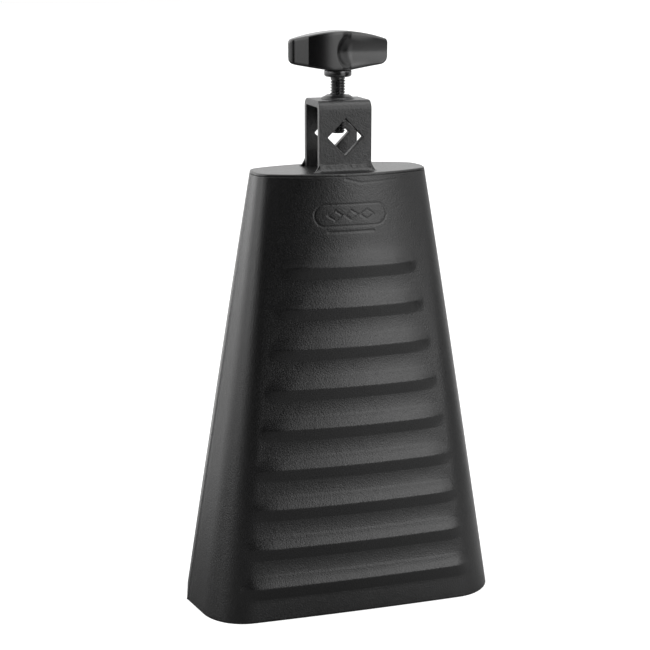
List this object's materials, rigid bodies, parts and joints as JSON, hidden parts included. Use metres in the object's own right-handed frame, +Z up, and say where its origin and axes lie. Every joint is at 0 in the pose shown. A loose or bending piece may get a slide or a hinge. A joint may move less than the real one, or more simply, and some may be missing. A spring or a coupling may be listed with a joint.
{
  "type": "cowbell",
  "caption": "Ribbed two-shell steel cowbell with a square-eye rod bracket on its crown and a plastic-winged clamp bolt that screws down onto the rod.",
  "frame": {"origin": "centre of the mouth, in the plane of the mouth rim", "axes": "+Z up from the mouth to the wing, +X the wide way of the mouth, -Y the front face"},
  "size_m": [0.1682, 0.0816, 0.2979],
  "materials": {
    "powder_coat": "fine black powder coat, satin",
    "coated_weld": "weld bead under the same black powder coat",
    "bush_steel": "blackened steel, coated with the strap",
    "stud_steel": "black oxide with bright thread crests",
    "collar_steel": "black oxide, turned",
    "wing_plastic": "moulded black nylon, semi-gloss"
  },
  "bodies": {
    "bell": {"front_shell": "powder_coat", "back_shell": "powder_coat", "left_seam_weld": "coated_weld", "right_seam_weld": "coated_weld", "crown_plate": "powder_coat", "crown_weld": "coated_weld", "eye_bracket": "powder_coat", "front_foot_weld": "coated_weld", "back_foot_weld": "coated_weld", "thread_bush": "bush_steel"},
    "bolt_travel_body": {"stud_collar": "collar_steel"},
    "wing_bolt": {"clamp_stud": "stud_steel", "wing_grip": "wing_plastic"}
  },
  "joints": [
    {"name": "bolt_travel", "type": "slide", "parent": "bell", "child": "bolt_travel_body", "axis": [0, 0, 1], "range_m": [-0.00864, 0.01446]},
    {"name": "wing_turn", "type": "hinge", "parent": "bolt_travel_body", "child": "wing_bolt", "pos_m": [0, 0, 0.275], "axis": [0, 0, 1], "range_deg": [-2205, 3690]}
  ],
  "couplings": [
    {"joint": "wing_turn", "follows": "bolt_travel", "rad_per_m": 4452.7}
  ]
}
